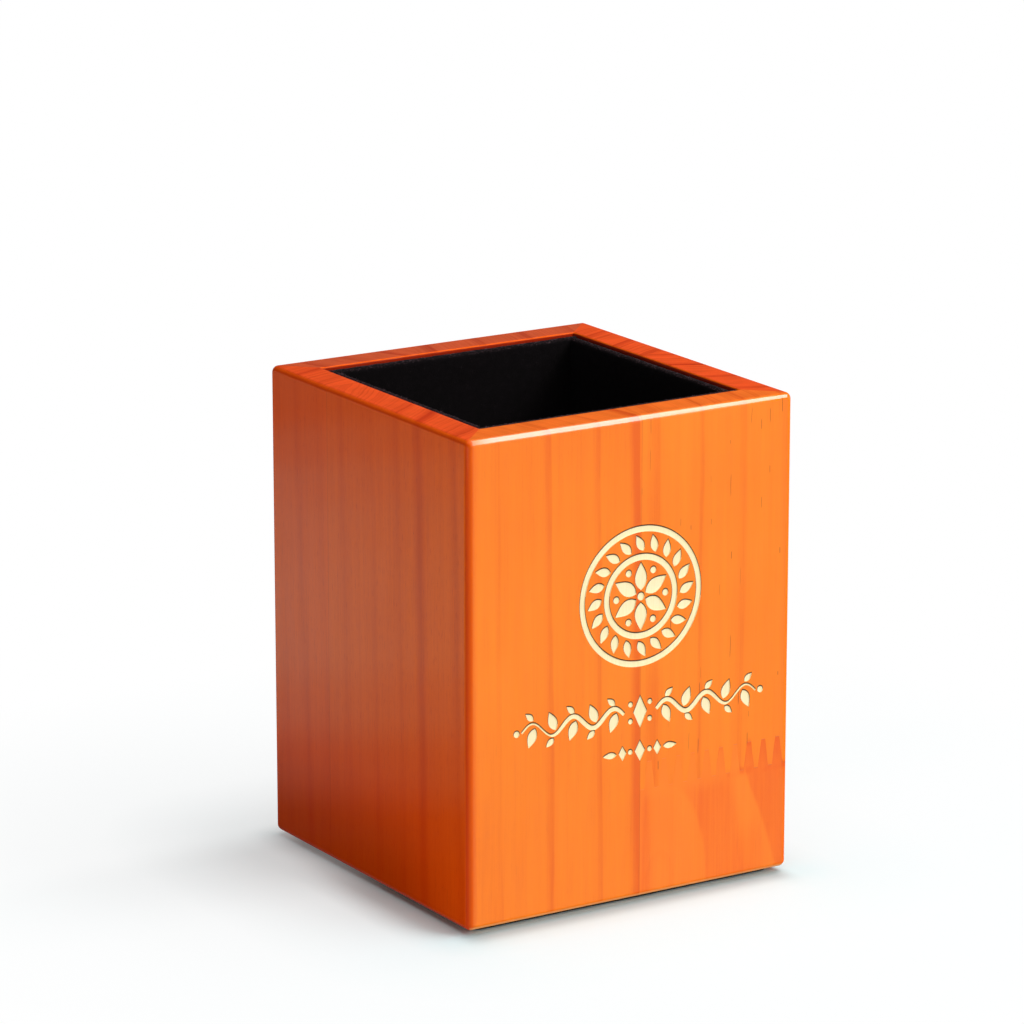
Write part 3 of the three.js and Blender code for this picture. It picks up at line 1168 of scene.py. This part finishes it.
# How far each fibre stands from the felt's two faces, how long it is, and how far it leans along the
# strip, out of it and up
FUZZ_INSET_MM = (0.25, 0.15)
FUZZ_LENGTH_MM = (0.30, 0.80)
FUZZ_LEAN = (-0.8, 0.8)
FUZZ_OUT = (-0.3, 0.9)
FUZZ_RISE = (0.1, 0.55)


def add_fuzz(bm, place, length, thickness, height):
    """Short bent fibres that stand out of the strip's top edge, rooted in the felt."""
    draw = random.Random(round(length * 100) + round(height * 10))
    half = thickness / 2
    outer, inner = FUZZ_INSET_MM
    for _ in range(round(length * FUZZ_PER_MM)):
        along = draw.uniform(-0.5, 0.5) * (length - 1)
        into = draw.uniform(outer, thickness - inner)
        lift = math.sqrt(max(0.0, 1 - ((into - half) / half) ** 2))
        foot = height - half * (1 - lift) - FUZZ_ROOT_MM
        reach = draw.uniform(*FUZZ_LENGTH_MM)
        lean = draw.uniform(*FUZZ_LEAN)
        out = draw.uniform(*FUZZ_OUT)
        rise = draw.uniform(*FUZZ_RISE)
        rings = []
        for share, width in FUZZ_TAPER:
            a = along + reach * lean * share * share
            b = min(into + reach * out * share * share, thickness - FUZZ_FACE_GAP_MM)
            up = foot + FUZZ_CLIMB_MM * share + reach * rise * share * (1 - FUZZ_DROOP * share)
            corners = moved(circle(FUZZ_RADIUS_MM * width, FUZZ_SIDES), a, b)
            rings.append([bm.verts.new(place(*corner, up)) for corner in corners])
        faces = [bm.faces.new(rings[0]), bm.faces.new(rings[-1][::-1])]
        for a, b in zip(rings, rings[1:]):
            faces += bridge(bm, a, b)
        for face in faces:
            face.material_index = 1


def felt_sheet(name, node_name, corner):
    """A flat felt sheet in its CAD solid's place, with rounded corners and soft edges."""
    low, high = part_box(node_name)
    size = (high - low) / MM
    centre = (low + high) / 2
    cells = round(size.x / FELT_CELL_MM)
    rim_dent = min(FELT_SOFT_EDGE_MM, size.z / 2) * FELT_RIM_DENT
    straight_x = size.x / 2 - corner
    straight_y = size.y / 2 - corner

    def grid_point(bm, upper, i, j):
        """A point of a square grid that is drawn in at its corners and dented along its rim."""
        u = 2 * i / cells - 1
        v = 2 * j / cells - 1
        x = u * size.x / 2
        y = v * size.y / 2
        over_x = abs(x) - straight_x
        over_y = abs(y) - straight_y
        if over_x > 0 and over_y > 0:
            scale = max(over_x, over_y) / math.hypot(over_x, over_y)
            x = math.copysign(straight_x + over_x * scale, x)
            y = math.copysign(straight_y + over_y * scale, y)
        dent = rim_dent if max(abs(u), abs(v)) == 1 else 0.0
        if upper:
            dent += FELT_UNEVEN_MM * (0.5 + 0.5 * noise.noise(Vector((x, y, 9)) / SHEET_WAVE_MM))
        z = size.z - dent if upper else dent
        return bm.verts.new((centre.x + x * MM, centre.y + y * MM, low.z + z * MM))

    def build(bm):
        places = range(cells + 1)
        rims = []
        for upper in (False, True):
            grid = [[grid_point(bm, upper, i, j) for j in places] for i in places]
            for a, b in zip(grid, grid[1:]):
                bridge(bm, a, b, 1)
            columns = list(zip(*grid))
            rims.append((grid[0], grid[-1], columns[0], columns[-1]))
        for lower, upper in zip(*rims):
            bridge(bm, lower, upper, 1)

    piece = finish_felt(name, node_name, mesh_from(build, FELT))


FELT = felt_material()
FUZZ = fuzz_material()
FILL = fill_material()
CHAR_AND_SHADOW = char_and_shadow_material()
FLOOR_FELT_NAME = "felt_floor"
FLOOR_CORNER_MM = 0.4
PAD_CORNER_MM = 3.0

felt_sheet(FLOOR_FELT_NAME, "lining_floor", FLOOR_CORNER_MM)
felt_sheet("felt_base_pad", "base_pad", PAD_CORNER_MM)

# Each wall's lining: which way it faces along X or Y, and how much lower its top is than its CAD solid's
LININGS = {"front": (1, -0.20), "left": (1, -0.20), "back": (-1, 0.25), "right": (-1, 0.25)}
for side, (inward, drop) in LININGS.items():
    felt_strip(side, inward, drop)


def dress(node_name, material):
    node = nodes[node_name]
    node.data.materials.clear()
    node.data.materials.append(material)
    return node


# Wood on every stave that keeps its CAD shape, and engraved copies of the two that don't
ENGRAVED = ("front_stave_left", "front_stave_right_upper")
figures = rosette_figures() + vine_figures() + trio_figures()
tools = [
    cutter("scorch_cutter", figures, CHAR_AND_SHADOW_DEPTH, CHAR_AND_SHADOW_MARGIN, PAINTED_SHADOW_SHIFT, CHAR_AND_SHADOW),
    cutter("pocket_cutter", figures, POCKET_DEPTH, 0.0, (0, 0), FILL),
]
for node_name, stave in STAVES.items():
    wood = wood_material("wood_" + node_name, stave)
    if node_name in ENGRAVED:
        engraved_stave(node_name, wood, tools)
    else:
        shade_rounds(dress(node_name, wood))
for tool in tools:
    bpy.data.objects.remove(tool)
joint_glue()
dress("bottom_board", plywood_material())

# Stage: a white floor that keeps the cup's shadow, a plain studio world, lamps and the camera
FLOOR_RADIUS = 7.0
FLOOR_SIDES = 96
FLOOR_DEPTH = 0.0001
FLOOR_BOUNCE = 0.5
# The floor's colour where it takes light, tinted cyan against the red light the cup throws on it
FLOOR_SHADED = rgb(0.79, 0.98, 1.0)
# A contact shadow painted into the floor's colour along the front's foot
PAINTED_CONTACT_SHADOW = rgb(0.40, 0.50, 0.52)
WHITE = rgb(1.0, 1.0, 1.0)

# How much of the floor is plain white, against how much takes light and shadow, by its distance from
# the cup's foot in mm, before the cup and beside its rear
FLOOR_REACH_MM = 120.0
FLOOR_PLAIN = [(0.0, 0.0), (4.0, 0.10), (9.0, 0.45), (13.0, 0.66), (40.0, 0.90), (120.0, 1.0)]
FLOOR_PLAIN_REAR = [
    (0.0, 0.12), (1.2, 0.22), (3.2, 0.31), (5.3, 0.40), (7.5, 0.45),
    (12.0, 0.48), (25.0, 0.64), (40.0, 0.80), (120.0, 1.0),
]
REARWARDS_MM = (-10.0, 25.0)
BEHIND_MM = (30.0, 50.0)
BEHIND_LIFT = 0.4

# How far the contact shadow painted into the floor along the front's foot has cleared, by the distance
# from it in mm, and where that painted shadow begins before the front and at either end of it
CONTACT_SHADOW_CLEARING = [
    (0.0, 0.04), (0.8, 0.14), (2.0, 0.24), (3.3, 0.50),
    (4.5, 0.72), (6.0, 0.88), (10.0, 1.0), (120.0, 1.0),
]
CONTACT_FRONT_MM = (2.5 - HALF_DEPTH_MM, 0.5 - HALF_DEPTH_MM)
CONTACT_RIGHT_MM = (HALF_WIDTH_MM + 1.5, HALF_WIDTH_MM - 4.0)
CONTACT_LEFT_MM = (-HALF_WIDTH_MM - 5.0, 3.0 - HALF_WIDTH_MM)


def floor_material():
    graph = material_graph("stage_floor")
    rays = graph.node("ShaderNodeLightPath").outputs
    camera, glossy, through = (
        Field(graph, rays[name]) for name in ("Is Camera Ray", "Is Glossy Ray", "Is Transmission Ray")
    )
    mirrored = glossy.either(through)
    shown = camera.either(mirrored)
    x, y, _ = graph.place().split()
    beside = (abs(x) - HALF_WIDTH_MM).either(0.0)
    before = (abs(y) - HALF_DEPTH_MM).either(0.0)
    share = beside.length(before).share(FLOOR_REACH_MM)

    def by_distance(stops):
        return share.ramp([(distance / FLOOR_REACH_MM, value) for distance, value in stops])

    rearwards = y.step(*REARWARDS_MM)
    plain = rearwards.mix(by_distance(FLOOR_PLAIN), by_distance(FLOOR_PLAIN_REAR))
    plain = (y.step(*BEHIND_MM) * BEHIND_LIFT).mix(plain, 1.0)
    ahead = y.step(*CONTACT_FRONT_MM)
    ahead = ahead * x.step(*CONTACT_RIGHT_MM) * x.step(*CONTACT_LEFT_MM)
    # Painted contact shadow along the front's foot
    painted_contact_shadow = ahead * (1.0 - by_distance(CONTACT_SHADOW_CLEARING))
    paper = shown.mix(FLOOR_BOUNCE, painted_contact_shadow.mix(FLOOR_SHADED, PAINTED_CONTACT_SHADOW))
    diffuse = graph.node("ShaderNodeBsdfDiffuse", {"Color": paper})
    white = graph.node("ShaderNodeEmission", {"Color": WHITE, "Strength": 1.0})
    whole = graph.blend((plain * shown).either(mirrored), diffuse, white)
    behind = graph.output("ShaderNodeNewGeometry", "Backfacing")
    return graph.finish(graph.blend(behind, whole, graph.node("ShaderNodeBsdfTransparent")))


def make_floor():
    def build(bm):
        bmesh.ops.create_circle(bm, cap_ends=True, radius=FLOOR_RADIUS, segments=FLOOR_SIDES)

    mesh = mesh_from(build, floor_material())
    if mesh.polygons[0].normal.z < 0:
        mesh.flip_normals()
    floor = link("stage_floor", mesh)
    floor.location.z = -FLOOR_DEPTH


WORLD_LIGHT = 0.048
WORLD_HORIZON = 1.0
HORIZON_BAND = (0.14, 0.06)


def make_world():
    """Dim from above, with a white band at the horizon."""
    graph = Graph(bpy.data.worlds.new("studio"))
    up = graph.output("ShaderNodeTexCoord", "Generated").split()[2]
    strength = up.step(*HORIZON_BAND) * (WORLD_HORIZON - WORLD_LIGHT) + WORLD_LIGHT
    background = graph.node("ShaderNodeBackground", {"Color": WHITE, "Strength": strength})
    bpy.context.scene.world = graph.finish(background, "ShaderNodeOutputWorld")


# name: (direction to the lamp from the cup, distance, width, length, power, way its length runs)
LAMPS = {
    "key": ((0.514, -0.483, 0.709), 1.00, 0.22, 1.39, 8.6, (0.0, 0.826, 0.563)),
    "overhead": ((0.05, -0.20, 0.97), 1.60, 2.00, 2.00, 13.3, (0.0, 1.0, 0.0)),
    "front": ((0.22, -0.92, 0.30), 1.60, 1.20, 1.20, 7.4, (0.0, 0.0, 1.0)),
    "left": ((-0.874, -0.481, -0.066), 0.4575, 0.25, 0.25, 0.515, (0.0, 0.0, 1.0)),
}
LAMP_TARGET = Vector((0, 0, 0.06))


def make_lamps():
    for name, (direction, distance, width, length, power, run) in LAMPS.items():
        lamp = bpy.data.lights.new("lamp_" + name, "AREA")
        lamp.shape = "RECTANGLE"
        lamp.size = width
        lamp.size_y = length
        lamp.energy = power
        holder = link("lamp_" + name, lamp)
        holder.visible_camera = False
        back = Vector(direction).normalized()
        sideways = Vector(run).cross(back).normalized()
        facing = Matrix((sideways, back.cross(sideways), back)).transposed()
        holder.matrix_world = Matrix.Translation(LAMP_TARGET + back * distance) @ facing.to_4x4()


def make_camera():
    data = bpy.data.cameras.new("camera")
    data.sensor_width = CAMERA_SENSOR
    data.lens = CAMERA_LENS
    data.clip_start, data.clip_end = CAMERA_CLIP
    camera = link("camera", data)
    flat = math.cos(CAMERA_ELEVATION)
    back = Vector((
        math.sin(CAMERA_AZIMUTH) * flat,
        -math.cos(CAMERA_AZIMUTH) * flat,
        math.sin(CAMERA_ELEVATION),
    ))
    camera.location = CAMERA_TARGET + back * CAMERA_DISTANCE
    camera.rotation_mode = "QUATERNION"
    camera.rotation_quaternion = back.to_track_quat("Z", "Y")
    bpy.context.scene.camera = camera


make_floor()
make_world()
make_lamps()
make_camera()
bpy.context.scene.view_settings.view_transform = "Standard"
